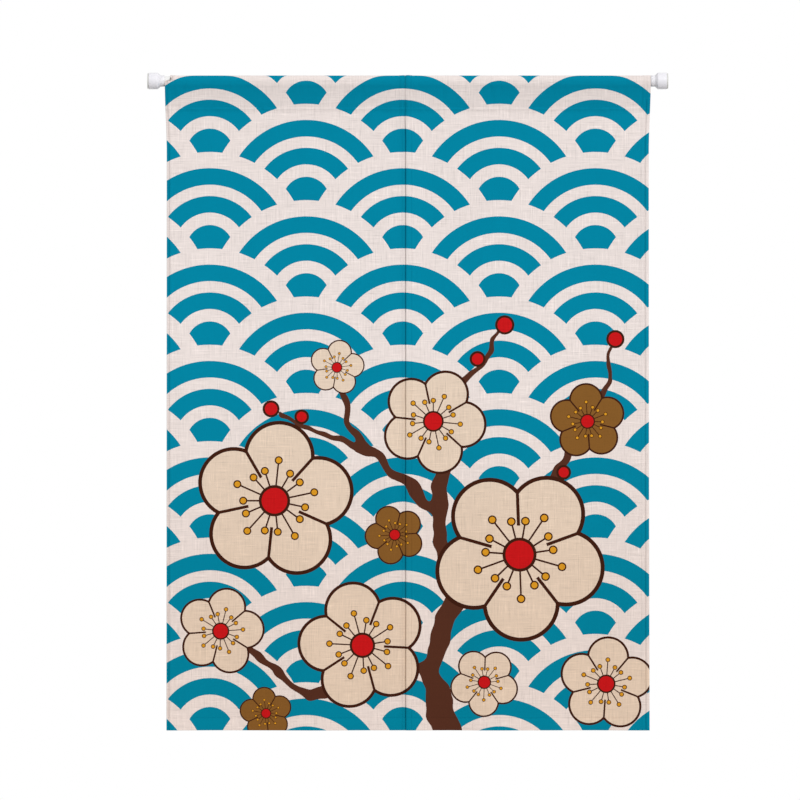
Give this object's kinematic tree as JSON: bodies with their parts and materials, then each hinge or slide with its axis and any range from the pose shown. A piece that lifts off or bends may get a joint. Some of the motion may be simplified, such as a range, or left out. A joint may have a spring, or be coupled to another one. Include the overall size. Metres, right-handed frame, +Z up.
{
  "type": "noren curtain on a tension rod",
  "caption": "Split doorway curtain of printed linen-look cloth, hung by sewn pockets on a white tension rod with round end caps.",
  "frame": {"origin": "middle of the left end cap's face, on the rod's axis", "axes": "+X along the rod to the right seen from the front, +Z up, and the curtain's front faces -Y"},
  "size_m": [0.918, 0.029, 1.1597],
  "materials": {
    "cloth": "printed plain weave, matte",
    "rod_enamel": "white enamel, satin",
    "cap_plastic": "white moulded plastic"
  },
  "bodies": {
    "root": {"left_panel": "cloth", "right_panel": "cloth", "rod": "rod_enamel", "end_cap_left": "cap_plastic", "end_cap_right": "cap_plastic"}
  },
  "joints": []
}
